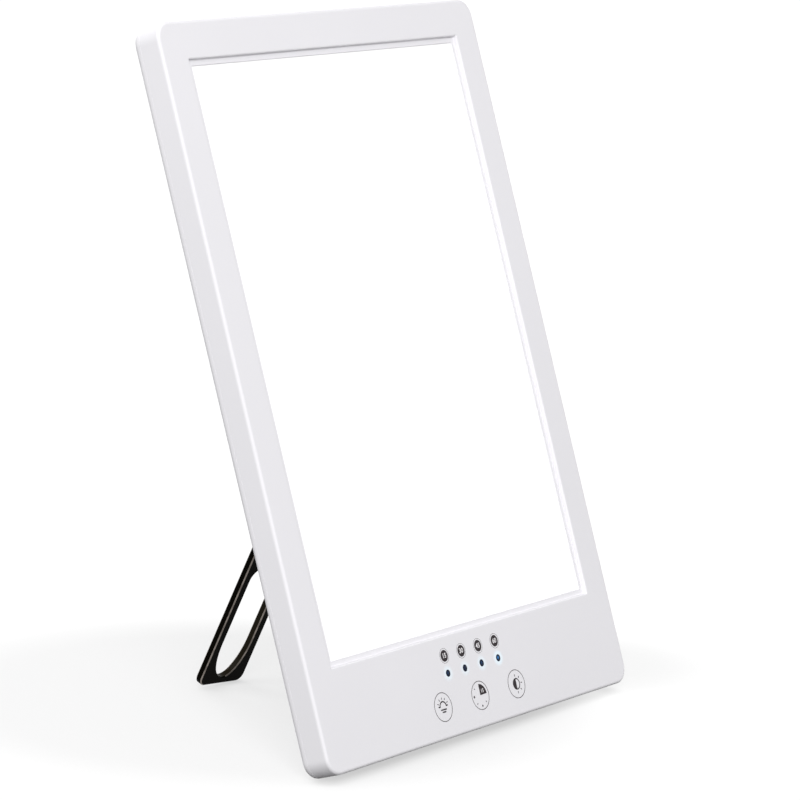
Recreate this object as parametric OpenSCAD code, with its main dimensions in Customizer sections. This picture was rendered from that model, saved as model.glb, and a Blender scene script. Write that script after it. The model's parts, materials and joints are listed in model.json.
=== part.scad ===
// Light therapy lamp: a thin tablet-shaped case that leans back on a slotted
// leg. The leg folds on a hinge pin, and the hinge turns on a round base in
// the middle of the back, so the lamp can stand upright or on its side.
//
// Every piece is drawn in the lamp's own frame: x to the right, y from the
// front face to the back, z up along the face. stand() then leans it back
// onto its two foot pads and the tip of the leg. Millimetres.

/* [Case] */
// Height of the case, along its face
case_h = 305; // [296:1:330]
// Width of the case
case_w = 218; // [208:1:240]
// Thickness of the case, front face to back face
case_t = 13.5; // [13.4:0.1:16]
// Radius of the case's four corners, seen from the front
corner_r = 7.5; // [6:0.5:12]
// Rounding of the front face's edges
face_edge_r = 1.3; // [0.8:0.1:2.4]
// Rounding of the back face's edges
back_edge_r = 2.4; // [1.6:0.1:2.8]
// Thickness of the front wall
face_wall = 2.1; // [1.8:0.1:2.3]
// Thickness of the side walls
side_wall = 2; // [1.6:0.1:2.4]
// Thickness of the back wall
back_wall = 2; // [1.6:0.1:2.2]
// Depth of the back cover's rim, from the back face to the seam
rim_d = 3.4; // [3:0.1:3.8]
// Width of the fine line between the two shells
seam_gap = 0.15; // [0.05:0.05:0.3]
// Thickness of the back cover's inner lip
lip_t = 1.2; // [1:0.1:1.4]
// How far the lip reaches into the front shell
lip_d = 1.6; // [1:0.1:2]

/* [Window] */
// Side frame, from the case's edge to the window
bezel_side = 15.7; // [14:0.1:18]
// Top frame, from the case's edge to the window
bezel_top = 15.5; // [14.5:0.1:18]
// Lower panel, from the case's bottom edge to the window
panel_h = 41; // [40:0.5:48]
// Width of the flange inside the window, over the diffuser's edge
flange_w = 2.9; // [1.5:0.1:4]
// Thickness of that flange
flange_t = 0.5; // [0.3:0.1:0.8]

/* [Light stack] */
// Thickness of the opal diffuser
diffuser_t = 1.2; // [1:0.1:1.4]
// Thickness of the prism film
film_t = 0.2; // [0.1:0.05:0.3]
// Thickness of the light guide
guide_t = 3; // [2.5:0.1:3.2]
// Thickness of the white reflector sheet
reflector_t = 0.25; // [0.15:0.05:0.3]
// Thickness of the aluminium back plate
plate_t = 0.8; // [0.6:0.1:1]
// How far the sheets reach past the window on each side
sheet_lap = 1.7; // [1.5:0.1:2]
// Air between neighbouring sheets
sheet_gap = 0.05; // [0.02:0.01:0.08]
// Thickness of the two lamp strips' boards
strip_t = 1; // [0.8:0.1:1.2]
// Width of one light chip, along the strip
chip_w = 3; // [2:0.1:3.5]
// Height of one light chip off its board
chip_h = 1.1; // [0.8:0.1:1.3]
// Pitch of the light chips
chip_pitch = 9; // [7:0.5:14]

/* [Controls] */
// Spacing of the three touch keys
key_pitch = 26.8; // [24:0.1:30]
// Height of the touch keys above the bottom edge
key_z = 13.2; // [12:0.1:15]
// Radius of the conductive pad behind each key
key_pad_r = 5; // [4:0.5:6]
// Spacing of the four indicator lenses
lens_pitch = 12.2; // [10:0.1:13]
// Height of the indicator lenses above the bottom edge
lens_z = 25.9; // [23:0.1:27]
// Radius of an indicator lens
lens_r = 1.5; // [1:0.1:2]
// Length of the control board
board_w = 116; // [108:1:124]
// Height of the control board
board_h = 31; // [28:0.5:31]
// Thickness of the control board
board_t = 1.6; // [1:0.1:1.6]
// Gap between the front wall and the board, filled by the key pads
board_gap = 4.4; // [4:0.1:4.8]

/* [Power inlet] */
// Height of the inlet above the bottom edge
jack_z = 20; // [18:0.5:26]
// Radius of the socket that takes the plug
jack_bore_r = 2.9; // [2.7:0.1:3]
// Radius of the inlet's centre pin
jack_pin_r = 1.05; // [0.8:0.05:1.25]
// Length of the inlet's body
jack_len = 12; // [10:0.5:14]
// Height of the inlet's body, front to back
jack_t = 7.4; // [7:0.1:7.6]
// Width of the inlet's body, along the side wall
jack_w = 9; // [8:0.5:10]

/* [Leg] */
// Distance from the hinge axis to the tip of the leg
leg_len = 157.9; // [150:0.1:170]
// Width of the leg
leg_w = 29; // [26:0.1:34]
// Thickness of the leg
leg_t = 3.2; // [2.4:0.1:3.4]
// Width of the bars beside the slot
leg_bar = 4.6; // [3.5:0.1:6]
// Width of the bar below the slot, at its middle
leg_sole = 3.2; // [2.8:0.1:8]
// Length of the slot, end to end
slot_len = 56.1; // [40:0.1:70]
// Height of the arch at the slot's lower end
slot_arch = 18; // [10:0.5:20]
// Height of the arch at its upper end
slot_crown = 6.5; // [4:0.5:12]
// Radius of the leg's foot corners
foot_r = 4; // [2:0.5:8]
// Opening angle between the leg and the case's back
leg_open = 41.1; // [35:0.1:50]

/* [Hinge and swivel] */
// Turn of the leg on its swivel as the lamp stands, its foot to the left
leg_turn = 4.9; // [0:0.1:6]
// Distance from the back face to the hinge axis
hinge_reach = 10.6; // [10:0.1:14]
// Height of the hinge axis above the middle of the case
hinge_rise = 7; // [0:0.1:8]
// Radius of the hinge pin
pin_r = 1.5; // [1.2:0.1:2]
// Radius of the leg's knuckle
knuckle_r = 4.4; // [4:0.1:5]
// Thickness of the two ears
ear_t = 4; // [3:0.1:4.5]
// Radius of the round base
base_r = 27; // [26:0.5:32]
// Thickness of the round base
base_t = 3.5; // [3:0.1:4]
// Radius of the hub that turns in the back wall
hub_r = 8; // [6:0.5:10]

/* [Feet and screws] */
// How far the rubber foot pads stand out below the case
pad_proud = 0.8; // [0.5:0.1:1.2]
// Length of a foot pad
pad_len = 26; // [16:1:40]
// Distance of the foot pads from the middle of the case
pad_x = 78; // [70:1:85]
// Radius of a case screw's shank
screw_r = 1.1; // [0.9:0.1:1.3]
// Radius of a case screw's head
screw_head_r = 2.2; // [1.8:0.1:2.3]

/* [Hidden] */
$fn = 96;

// Clearances
cut = 1;             // how far a cutter runs past the face it opens
fit = 0.02;          // between parts that are clamped or pressed together
run = 0.05;          // radial clearance of a shaft that turns
slip = 0.1;          // between parts that slide together at assembly

// Case
half_w = case_w / 2;
mid_z = case_h / 2;
seam_y = case_t - rim_d;
inner_back_y = case_t - back_wall;
win_x = half_w - bezel_side;
win_z0 = panel_h;
win_z1 = case_h - bezel_top;

// Light stack, front to back
sheet_x = win_x + sheet_lap;
sheet_z0 = win_z0 - sheet_lap;
sheet_z1 = win_z1 + sheet_lap;
diffuser_y = face_wall + fit;
film_y = diffuser_y + diffuser_t + sheet_gap;
guide_y = film_y + film_t + sheet_gap;
reflector_y = guide_y + guide_t + sheet_gap;
plate_y = reflector_y + reflector_t + sheet_gap;
plate_back_y = plate_y + plate_t;
chip_x0 = sheet_x + slip;
strip_x0 = chip_x0 + chip_h;
flange_x0 = strip_x0 + strip_t + fit;
flange_x1 = flange_x0 + plate_t;
strip_inset = 2;      // from the sheets' ends to the strips' ends
strip_z0 = sheet_z0 + strip_inset;
strip_z1 = sheet_z1 - strip_inset;

// Screw bosses of the case: two down each side, two along the top and bottom
boss_r = 3;
boss_wall_gap = 0.8;  // from a side boss to the side wall
boss_pocket = 0.4;    // room round a boss in the back cover
case_boss_x = half_w - side_wall - boss_r - boss_wall_gap;
case_boss_z = [case_h * 0.22, case_h * 0.78];
end_boss_x = half_w * 0.66;
end_boss_z = side_wall + boss_r + 2;
case_screw_spots = concat(
    [for (s = [-1, 1]) for (z = case_boss_z) [s * case_boss_x, z]],
    [for (s = [-1, 1]) for (z = [end_boss_z, case_h - end_boss_z]) [s * end_boss_x, z]]
);
boss_top_y = seam_y - lip_d - 0.3;
cover_boss_y = boss_top_y + slip;
screw_head_h = 1.2;
screw_sink = 1.5;     // depth of the hole that hides the head
screw_len = 7;

// Back plate's tabs, above and below the light stack
tab_w = 9;
tab_reach = 6;
plate_tab_x = [half_w * 0.36, half_w * 0.7];
tab_screw_r = 0.9;
tab_screw_head_r = 1.7;
tab_screw_head_h = 0.7;
tab_post_r = 2.2;
pilot_len = 4;        // length of the small screws' shanks
tab_spots = concat(
    [for (s = [-1, 1]) [s * plate_tab_x[0], sheet_z1 + tab_reach - tab_post_r]],
    [for (s = [-1, 1]) [s * plate_tab_x[1], sheet_z0 - tab_reach + tab_post_r]]
);

// Control board
board_y = face_wall + board_gap;
board_back_y = board_y + board_t;
board_z0 = side_wall + 3.5;
board_inset = 5;      // from the board's edges to its screws
board_post_r = 2.4;
board_spots = [for (sx = [-1, 1]) for (z = [board_z0 + board_inset - 1, board_z0 + board_h - board_inset + 1])
    [sx * (board_w / 2 - board_inset), z]];
led_lead_r = 0.9;
led_lead_z = board_z0 + board_h - board_inset + 1 - board_post_r - led_lead_r - 0.5;
board_screw_r = 0.9;
board_screw_head_r = 1.8;
board_screw_head_h = 0.9;
key_x = [-key_pitch, 0, key_pitch];
lens_x = [for (i = [0:3]) (i - 1.5) * lens_pitch];
lens_flange_r = lens_r + 0.7;
lens_flange_t = 0.8;
indicator_led_h = 0.8;

// Power inlet, in the right-hand wall
jack_y = face_wall + 0.3 + jack_t / 2;
jack_x1 = half_w - side_wall - slip;
jack_x0 = jack_x1 - jack_len;
jack_nose_r = jack_bore_r + 0.6;
jack_depth = 9.5;
lead_r = 0.6;
lead_pitch = 6;       // between the inlet's two leads
lead_lap = 5;         // how far the leads reach in over the board

// Round base and hub, on the middle of the back
glide_t = 0.4;
glide_gap = 1;        // from the hub to the glide ring
glide_inset = 2;      // from the base's rim to the glide ring's
base_y = case_t + glide_t + 2 * fit;
base_back_y = base_y + base_t;
base_edge_r = 1.6;
collar_t = 0.8;       // ring inside the back wall that the washers bear on
collar_w = 5;         // its width
collar_r = hub_r + collar_w;
washer_inset = 1;     // from the collar's rim to the washers' rims
wave_t = 0.4;
wave_y = inner_back_y - collar_t - fit - wave_t;
keeper_t = 0.8;
keeper_y = wave_y - fit - keeper_t;
hub_y = keeper_y + keeper_t + fit;
swivel_screw_r = 2;
swivel_screw_head_r = 3.6;
swivel_screw_head_h = 1.2;
swivel_screw_len = 6;

// Hinge
hinge_y = case_t + hinge_reach;
hinge_z = mid_z + hinge_rise;
washer_t = 0.5;
ear_x0 = leg_w / 2 + washer_t + 2 * run;
ear_x1 = ear_x0 + ear_t;
ear_r = knuckle_r + 0.6;
ear_neck = 0.98;      // half-width of an ear below its round top, of its radius
ear_foot = 17;
pin_head_r = pin_r + 1.1;
pin_head_t = 1;
clip_t = 0.8;
clip_r = pin_head_r + 0.4;
washer_r = knuckle_r - 0.4;
pin_x0 = -ear_x1 - pin_head_t;
pin_x1 = ear_x1 + clip_t + 1;
stop_gap = 0.1;       // between the leg's heel and the round base when open
base_drop = hinge_y - base_back_y;
heel_len = (base_drop - stop_gap + leg_t / 2 * cos(leg_open)) / sin(leg_open);

// Standing pose: the case stands on the pads below its back edge, and the leg
// on its foot, which fixes the lean
foot_x = leg_w / 2 - foot_r;
hinge_at = [hinge_rise * sin(leg_turn), hinge_y, mid_z + hinge_rise * cos(leg_turn)];

// How far the leg's foot reaches along v, a direction in the lamp's frame
function leg_reach(v) = let(
    t = [v.x * cos(leg_turn) - v.z * sin(leg_turn), v.y, v.x * sin(leg_turn) + v.z * cos(leg_turn)],
    l = [t.x, t.y * cos(leg_open) + t.z * sin(leg_open), t.z * cos(leg_open) - t.y * sin(leg_open)])
    hinge_at * v + foot_x * abs(l.x) - (leg_len - foot_r) * l.z + foot_r * norm([l.x, l.z]) + leg_t / 2 * abs(l.y);

// How far the pads reach down with the lamp leant back by the angle a
function pad_reach(a) = (case_t - back_edge_r) * sin(a) - back_edge_r * cos(a) + back_edge_r + pad_proud;

// Lean at which both stand on one plane, found by halving
function settle(lo, hi, steps = 40) = let(a = (lo + hi) / 2)
    steps == 0 ? a
    : leg_reach([0, sin(a), -cos(a)]) < pad_reach(a) ? settle(a, hi, steps - 1) : settle(lo, a, steps - 1);

lean = settle(0, 60);
base_lift = pad_reach(lean);

// The part's origin is below the middle of its box: the box runs from the
// rounded front edge of the case to the back of the leg's foot
front_y = face_edge_r * (cos(lean) + sin(lean) - 1);
rear_y = leg_reach([0, cos(lean), sin(lean)]);
base_shift = -(front_y + rear_y) / 2;

// Foot pads, drawn upright in the standing frame, under the case's back edge
pad_sole_y = (case_t - back_edge_r) * cos(lean) + back_edge_r * sin(lean) + base_shift;
pad_front = 0.9;      // from the case's lowest line forward
pad_back = 2.4;       // and backward
pad_top = pad_proud + 1.6;

// Back wall's vents
vent_w = 2;
vent_len = 16;
vent_pitch = 8;
vent_z = [case_h * 0.16, case_h * 0.87];
vent_span = half_w * 0.55;

// ---------------------------------------------------------------- helpers

// Lean the lamp's frame back into the standing pose
module stand()
    translate([0, base_shift, base_lift]) rotate([-lean, 0, 0]) children();

// The same for what turns with the swivel
module stand_turned()
    stand() translate([0, 0, mid_z]) rotate([0, leg_turn, 0]) translate([0, 0, -mid_z]) children();

// Extrude an (x, z) outline from depth y0 to depth y1
module across(y0, y1)
    translate([0, y1, 0]) rotate([90, 0, 0]) linear_extrude(y1 - y0) children();

// Extrude a (y, z) outline from x0 to x1
module sideways(x0, x1)
    translate([x0, 0, 0]) rotate([90, 0, 90]) linear_extrude(x1 - x0) children();

// Round bar along y, from depth y0 to y1
module rod(x, z, r, y0, y1)
    translate([x, y0, z]) rotate([-90, 0, 0]) cylinder(r = r, h = y1 - y0);

// Round bar along x
module cross_rod(y, z, r, x0, x1)
    translate([x0, y, z]) rotate([0, 90, 0]) cylinder(r = r, h = x1 - x0);

// Flat ring about the y axis, from depth y0 to y1
module ring(x, z, r_in, r_out, y0, y1)
    difference() {
        rod(x, z, r_out, y0, y1);
        rod(x, z, r_in, y0 - cut, y1 + cut);
    }

// Rectangle in (x, z) between two corners
module plate_outline(x0, x1, z0, z1)
    translate([x0, z0]) square([x1 - x0, z1 - z0]);

// Outer edge of a slab: r runs outwards, y is depth, with rounded corners
module edge_profile(r, y0, y1, front_r, back_r) {
    big = max(front_r, back_r);
    intersection() {
        translate([0, y0]) square([r, y1 - y0]);
        union() {
            translate([0, y0]) square([r - big, y1 - y0]);
            translate([0, y0 + front_r]) square([r, y1 - y0 - front_r - back_r]);
            if (front_r > 0) translate([r - front_r, y0 + front_r]) circle(front_r);
            if (back_r > 0) translate([r - back_r, y1 - back_r]) circle(back_r);
        }
    }
}

// Slab with rounded corners and rounded front or back edges, inset from the
// case's outline by inset
module rounded_slab(inset, y0, y1, front_r = 0, back_r = 0) {
    r = corner_r - inset;
    x = half_w - corner_r;
    z0 = corner_r;
    z1 = case_h - corner_r;
    across(y0, y1) plate_outline(-x, x, z0, z1);
    for (s = [0, 1]) mirror([s, 0, 0])
        translate([x, 0, z0]) linear_extrude(z1 - z0) edge_profile(r, y0, y1, front_r, back_r);
    sideways(-x, x) translate([0, z1]) rotate(90) mirror([0, 1]) edge_profile(r, y0, y1, front_r, back_r);
    sideways(-x, x) translate([0, z0]) rotate(-90) edge_profile(r, y0, y1, front_r, back_r);
    for (k = [0:3])
        translate([k == 0 || k == 3 ? x : -x, 0, k < 2 ? z1 : z0])
            rotate([90, 0, 0]) rotate([0, 0, 90 * k])
                rotate_extrude(angle = 90) mirror([0, 1]) edge_profile(r, y0, y1, front_r, back_r);
}

// Screw that enters from the back: its head ends at depth y, cross recess
module screw(x, z, y, head_r, head_h, shank_r, len) {
    slot_w = head_r * 0.3;
    slot_l = head_r * 1.2;
    difference() {
        rod(x, z, head_r, y - head_h, y);
        for (a = [0, 90]) translate([x, y, z]) rotate([0, a, 0])
            translate([-slot_l / 2, -head_h / 2, -slot_w / 2]) cube([slot_l, head_h, slot_w]);
    }
    rod(x, z, shank_r, y - head_h - len, y - head_h);
}

// ---------------------------------------------------------------- shells

// The window's opening, which leaves a thin flange in front of the diffuser
module window_cut() {
    across(-cut, face_wall - flange_t) plate_outline(-win_x, win_x, win_z0, win_z1);
    across(-cut, face_wall + cut)
        plate_outline(flange_w - win_x, win_x - flange_w, win_z0 + flange_w, win_z1 - flange_w);
}

module front_bezel() color("white") stand() {
    rib = 1.2;
    cradle_y = jack_y + jack_t / 4;
    difference() {
        union() {
            difference() {
                rounded_slab(0, 0, seam_y, front_r = face_edge_r);
                rounded_slab(side_wall, face_wall, seam_y + cut);
            }
            // bosses for the case screws, posts for the back plate and board
            for (p = case_screw_spots) rod(p[0], p[1], boss_r, face_wall - fit, boss_top_y);
            for (p = tab_spots) rod(p[0], p[1], tab_post_r, face_wall - fit, plate_y - fit);
            for (p = board_spots) rod(p[0], p[1], board_post_r, face_wall - fit, board_y - fit);
            // ribs that locate the diffuser
            for (s = [-1, 1]) across(face_wall - fit, film_y)
                plate_outline(s * (sheet_x + slip + rib / 2) - rib / 2, s * (sheet_x + slip + rib / 2) + rib / 2,
                    sheet_z0, sheet_z1);
            // cradle that holds the power inlet
            for (s = [-1, 1]) across(face_wall - fit, cradle_y)
                plate_outline(jack_x0, jack_x1 - 1, jack_z + s * (jack_w / 2 + slip + rib / 2) - rib / 2,
                    jack_z + s * (jack_w / 2 + slip + rib / 2) + rib / 2);
        }
        window_cut();
        for (p = case_screw_spots) rod(p[0], p[1], screw_r + fit, face_wall, boss_top_y + cut);
        for (p = tab_spots) rod(p[0], p[1], tab_screw_r + fit, face_wall, plate_y + cut);
        for (p = board_spots) rod(p[0], p[1], board_screw_r + fit, face_wall, board_y + cut);
        for (x = lens_x) rod(x, lens_z, lens_r + fit, -cut, face_wall + cut);
        cross_rod(jack_y, jack_z, jack_nose_r + slip, half_w - side_wall - cut, half_w + cut);
    }
}

module rear_cover() color("white") stand() {
    lip_inset = side_wall + slip;
    lip_y = seam_y - lip_d;
    difference() {
        union() {
            rounded_slab(0, seam_y + seam_gap, case_t, back_r = back_edge_r);
            rounded_slab(lip_inset, lip_y, inner_back_y);
            rod(0, mid_z, collar_r, inner_back_y - collar_t, inner_back_y + fit);
        }
        difference() {
            rounded_slab(lip_inset + lip_t, lip_y - cut, inner_back_y);
            rod(0, mid_z, collar_r, inner_back_y - collar_t, inner_back_y + cut);
            for (p = case_screw_spots) rod(p[0], p[1], boss_r + boss_pocket, cover_boss_y, inner_back_y + cut);
        }
        for (p = case_screw_spots) {
            rod(p[0], p[1], screw_r + slip, lip_y - cut, case_t);
            rod(p[0], p[1], screw_head_r + slip, case_t - screw_sink, case_t + cut);
            rod(p[0], p[1], boss_r + slip, lip_y - cut, cover_boss_y);
        }
        // the hub's bearing, the vents and the room for the power inlet
        rod(0, mid_z, hub_r + run, inner_back_y - collar_t - cut, case_t + cut);
        for (z = vent_z) for (x = [-vent_span : vent_pitch : vent_span])
            vent_cut(x, z);
        sideways(jack_x0 - slip, jack_x1 + slip) plate_outline(lip_y - cut, jack_y + jack_t / 2 + slip,
            jack_z - jack_w / 2 - 2, jack_z + jack_w / 2 + 2);
        foot_pockets();
    }
}

// One vent through the back wall, with round ends
module vent_cut(x, z) {
    run_z = (vent_len - vent_w) / 2;
    for (s = [-1, 1]) rod(x, z + s * run_z, vent_w / 2, inner_back_y - cut, case_t + cut);
    across(inner_back_y - cut, case_t + cut) plate_outline(x - vent_w / 2, x + vent_w / 2, z - run_z, z + run_z);
}

// ---------------------------------------------------------------- light stack

module diffuser_panel() color("white") stand()
    across(diffuser_y, diffuser_y + diffuser_t) plate_outline(-sheet_x, sheet_x, sheet_z0, sheet_z1);

module prism_film() color("gainsboro") stand()
    across(film_y, film_y + film_t) plate_outline(-sheet_x, sheet_x, sheet_z0, sheet_z1);

module light_guide() color("aliceblue") stand()
    across(guide_y, guide_y + guide_t) plate_outline(-sheet_x, sheet_x, sheet_z0, sheet_z1);

module reflector_sheet() color("white") stand()
    across(reflector_y, reflector_y + reflector_t) plate_outline(-sheet_x, sheet_x, sheet_z0, sheet_z1);

// Aluminium tray that backs the stack, carries the strips and spreads heat
module back_plate() color("silver") stand()
    difference() {
        union() {
            across(plate_y, plate_back_y) plate_outline(-flange_x1, flange_x1, sheet_z0, sheet_z1);
            for (s = [0, 1]) mirror([s, 0, 0]) across(guide_y, plate_y + fit)
                plate_outline(flange_x0, flange_x1, strip_z0, strip_z1);
            for (p = tab_spots) across(plate_y, plate_back_y)
                plate_outline(p[0] - tab_w / 2, p[0] + tab_w / 2,
                    p[1] > mid_z ? sheet_z1 - fit : sheet_z0 - tab_reach,
                    p[1] > mid_z ? sheet_z1 + tab_reach : sheet_z0 + fit);
        }
        for (p = tab_spots) rod(p[0], p[1], tab_screw_r + slip, plate_y - cut, plate_back_y + cut);
    }

module led_strip()
    across(guide_y, guide_y + guide_t) plate_outline(strip_x0, strip_x0 + strip_t, strip_z0, strip_z1);

module led_strip_right() color("whitesmoke") stand() led_strip();

module led_strip_left() color("whitesmoke") stand() mirror([1, 0, 0]) led_strip();

module led_chips() color("khaki") stand() {
    count = floor((strip_z1 - strip_z0 - chip_w) / chip_pitch);
    start = (strip_z0 + strip_z1 - count * chip_pitch) / 2;
    chip_lip = 0.4;
    for (s = [0, 1]) mirror([s, 0, 0]) for (i = [0 : count])
        across(guide_y + chip_lip, guide_y + guide_t - chip_lip)
            plate_outline(chip_x0, strip_x0 - fit,
                start + i * chip_pitch - chip_w / 2, start + i * chip_pitch + chip_w / 2);
}

// ---------------------------------------------------------------- controls

module control_board() color("darkgreen") stand()
    difference() {
        across(board_y, board_back_y) plate_outline(-board_w / 2, board_w / 2, board_z0, board_z0 + board_h);
        for (p = board_spots) rod(p[0], p[1], board_screw_r + slip, board_y - cut, board_back_y + cut);
    }

// Square chip on the back of the board
module controller_chip() color("dimgray") stand() {
    size = 9;
    tall = 1.4;
    across(board_back_y + fit, board_back_y + fit + tall)
        plate_outline(-size / 2, size / 2, lens_z - size, lens_z);
}

// Two power inductors of the lamp driver
module driver_coils() color("dimgray") stand() {
    core = 8;
    tall = 2.4;
    groove_r = 3.4;
    groove = 0.3;
    for (s = [-1, 1]) difference() {
        across(board_back_y + fit, board_back_y + fit + tall)
            plate_outline(s * board_w * 0.27 - core / 2, s * board_w * 0.27 + core / 2, lens_z - core, lens_z);
        ring(s * board_w * 0.27, lens_z - core / 2, groove_r - groove, groove_r,
            board_back_y + fit + tall - groove, board_back_y + fit + tall + cut);
    }
}

// Row of flat capacitors below the chip
module capacitors() color("tan") stand() {
    w = 3.2;
    h = 2.5;
    tall = 1.6;
    for (i = [-3 : 3]) across(board_back_y + fit, board_back_y + fit + tall)
        plate_outline(i * w * 2 - w / 2, i * w * 2 + w / 2, board_z0 + 3, board_z0 + 3 + h);
}

// Conductive foam discs that carry each key's touch to the board
module touch_pads() color("dimgray") stand()
    for (x = key_x) rod(x, key_z, key_pad_r, face_wall + fit, board_y - fit);

module indicator_leds() color("steelblue") stand() {
    size = 1.6;
    for (x = lens_x) across(board_y - fit - indicator_led_h, board_y - fit)
        plate_outline(x - size / 2, x + size / 2, lens_z - size / 2, lens_z + size / 2);
}

// Light pipes that end flush in the front wall
module indicator_lenses() color("navy") stand()
    for (x = lens_x) {
        rod(x, lens_z, lens_r, 0, board_y - 2 * fit - indicator_led_h);
        rod(x, lens_z, lens_flange_r, face_wall + fit, face_wall + fit + lens_flange_t);
    }

// ---------------------------------------------------------------- power inlet

module dc_jack() color("black") stand()
    difference() {
        union() {
            sideways(jack_x0, jack_x1) plate_outline(jack_y - jack_t / 2, jack_y + jack_t / 2,
                jack_z - jack_w / 2, jack_z + jack_w / 2);
            cross_rod(jack_y, jack_z, jack_nose_r, jack_x1 - cut, half_w - 0.3);
        }
        cross_rod(jack_y, jack_z, jack_bore_r, half_w - jack_depth, half_w + cut);
        cross_rod(jack_y, jack_z, jack_pin_r + fit, jack_x0 - cut, half_w - jack_depth + cut);
    }

module jack_pin() color("silver") stand()
    cross_rod(jack_y, jack_z, jack_pin_r, jack_x0 - 1, half_w - 1.2);

// Two leads from the inlet to the back of the board
module jack_leads() color("red") stand()
    for (s = [-1, 1])
        cross_rod(board_back_y + fit + lead_r, jack_z + s * lead_pitch / 2, lead_r,
            board_w / 2 - lead_lap, jack_x0 - fit);

// Two-core lead from the board's front to the foot of each strip
module led_leads() color("white") stand() {
    bend = 4;
    z = led_lead_z;
    y = board_y - fit - led_lead_r;
    x = strip_x0 + strip_t / 2;
    for (s = [0, 1]) mirror([s, 0, 0]) {
        cross_rod(y, z, led_lead_r, board_w / 2 - lead_lap, x - bend);
        translate([x - bend, y, z + bend]) rotate([90, 0, 0]) rotate([0, 0, -90])
            rotate_extrude(angle = 90) translate([bend, 0]) circle(led_lead_r);
        translate([x, y, z + bend]) cylinder(r = led_lead_r, h = strip_z0 - z - bend - fit);
    }
}

// ---------------------------------------------------------------- screws and feet

module case_screws() color("silver") stand()
    for (p = case_screw_spots)
        screw(p[0], p[1], case_t - screw_sink + screw_head_h, screw_head_r, screw_head_h - fit, screw_r, screw_len);

module plate_screws() color("silver") stand()
    for (p = tab_spots)
        screw(p[0], p[1], plate_back_y + fit + tab_screw_head_h, tab_screw_head_r, tab_screw_head_h, tab_screw_r,
            pilot_len);

module board_screws() color("silver") stand()
    for (p = board_spots)
        screw(p[0], p[1], board_back_y + fit + board_screw_head_h, board_screw_head_r, board_screw_head_h,
            board_screw_r, pilot_len);

// One foot pad's block in the standing frame, grown by a clearance
module pad_block(grow)
    translate([pad_x - pad_len / 2 - grow, pad_sole_y - pad_front - grow, 0])
        cube([pad_len + 2 * grow, pad_front + pad_back + 2 * grow, pad_top + grow]);

module foot_pads() color("gray")
    for (s = [0, 1]) mirror([s, 0, 0]) pad_block(0);

// The pads' pockets, turned into the lamp's frame
module foot_pockets()
    rotate([lean, 0, 0]) translate([0, -base_shift, -base_lift])
        for (s = [0, 1]) mirror([s, 0, 0]) pad_block(fit);

// ---------------------------------------------------------------- hinge and leg

// Ear's outline in (y, z): round about the hinge pin, wide at its foot
module ear_outline() {
    translate([hinge_y, hinge_z]) circle(ear_r);
    half = ear_foot / 2;
    polygon([
        [base_back_y - 1, hinge_z - half], [base_back_y, hinge_z - half],
        [hinge_y - 1, hinge_z - ear_r * ear_neck], [hinge_y - 1, hinge_z + ear_r * ear_neck],
        [base_back_y, hinge_z + half], [base_back_y - 1, hinge_z + half]
    ]);
}

// Round base with its hub and the two ears that carry the hinge pin
module swivel_base() color("black") stand_turned()
    difference() {
        union() {
            translate([0, base_y, mid_z]) rotate([-90, 0, 0]) rotate_extrude() {
                square([base_r - base_edge_r, base_t]);
                square([base_r, base_t - base_edge_r]);
                translate([base_r - base_edge_r, base_t - base_edge_r]) circle(base_edge_r);
            }
            rod(0, mid_z, hub_r, hub_y, base_y + fit);
            for (s = [0, 1]) mirror([s, 0, 0]) sideways(ear_x0, ear_x1) ear_outline();
        }
        cross_rod(hinge_y, hinge_z, pin_r + fit, -ear_x1 - cut, ear_x1 + cut);
        rod(0, mid_z, swivel_screw_r + fit, hub_y - cut, keeper_y + swivel_screw_len + slip);
    }

module glide_ring() color("gainsboro") stand()
    ring(0, mid_z, hub_r + glide_gap, base_r - glide_inset, case_t + fit, case_t + fit + glide_t);

module wave_washer() color("silver") stand()
    ring(0, mid_z, hub_r + slip, collar_r - washer_inset, wave_y, wave_y + wave_t);

module keeper_washer() color("silver") stand_turned()
    ring(0, mid_z, swivel_screw_r + slip, collar_r - washer_inset, keeper_y, keeper_y + keeper_t);

// Enters the hub from inside the case and clamps the keeper washer
module swivel_screw() color("silver") stand_turned() {
    rod(0, mid_z, swivel_screw_r, keeper_y - fit, keeper_y + swivel_screw_len);
    difference() {
        rod(0, mid_z, swivel_screw_head_r, keeper_y - fit - swivel_screw_head_h, keeper_y - fit);
        for (a = [0, 90]) translate([0, keeper_y - fit - swivel_screw_head_h, mid_z]) rotate([0, a, 0])
            translate([-swivel_screw_head_r * 0.6, -cut, -0.5])
                cube([swivel_screw_head_r * 1.2, cut + swivel_screw_head_h / 2, 1]);
    }
}

module hinge_pin() color("silver") stand_turned() {
    cross_rod(hinge_y, hinge_z, pin_r, pin_x0, pin_x1);
    cross_rod(hinge_y, hinge_z, pin_head_r, pin_x0, -ear_x1 - fit);
}

module pin_clip() color("dimgray") stand_turned()
    difference() {
        cross_rod(hinge_y, hinge_z, clip_r, ear_x1 + fit, ear_x1 + fit + clip_t);
        cross_rod(hinge_y, hinge_z, pin_r + fit, ear_x1, ear_x1 + clip_t + cut);
    }

module hinge_washers() color("silver") stand_turned()
    for (s = [0, 1]) mirror([s, 0, 0]) difference() {
        cross_rod(hinge_y, hinge_z, washer_r, leg_w / 2 + run, leg_w / 2 + run + washer_t);
        cross_rod(hinge_y, hinge_z, pin_r + run, leg_w / 2, ear_x0 + cut);
    }

// Half of an ellipse as points: half-width rx, height rz, upwards or downwards
function arch(rx, rz, z, way) = [for (i = [0 : 24]) [rx * cos(7.5 * i) * way, z + rz * sin(7.5 * i) * way]];

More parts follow.
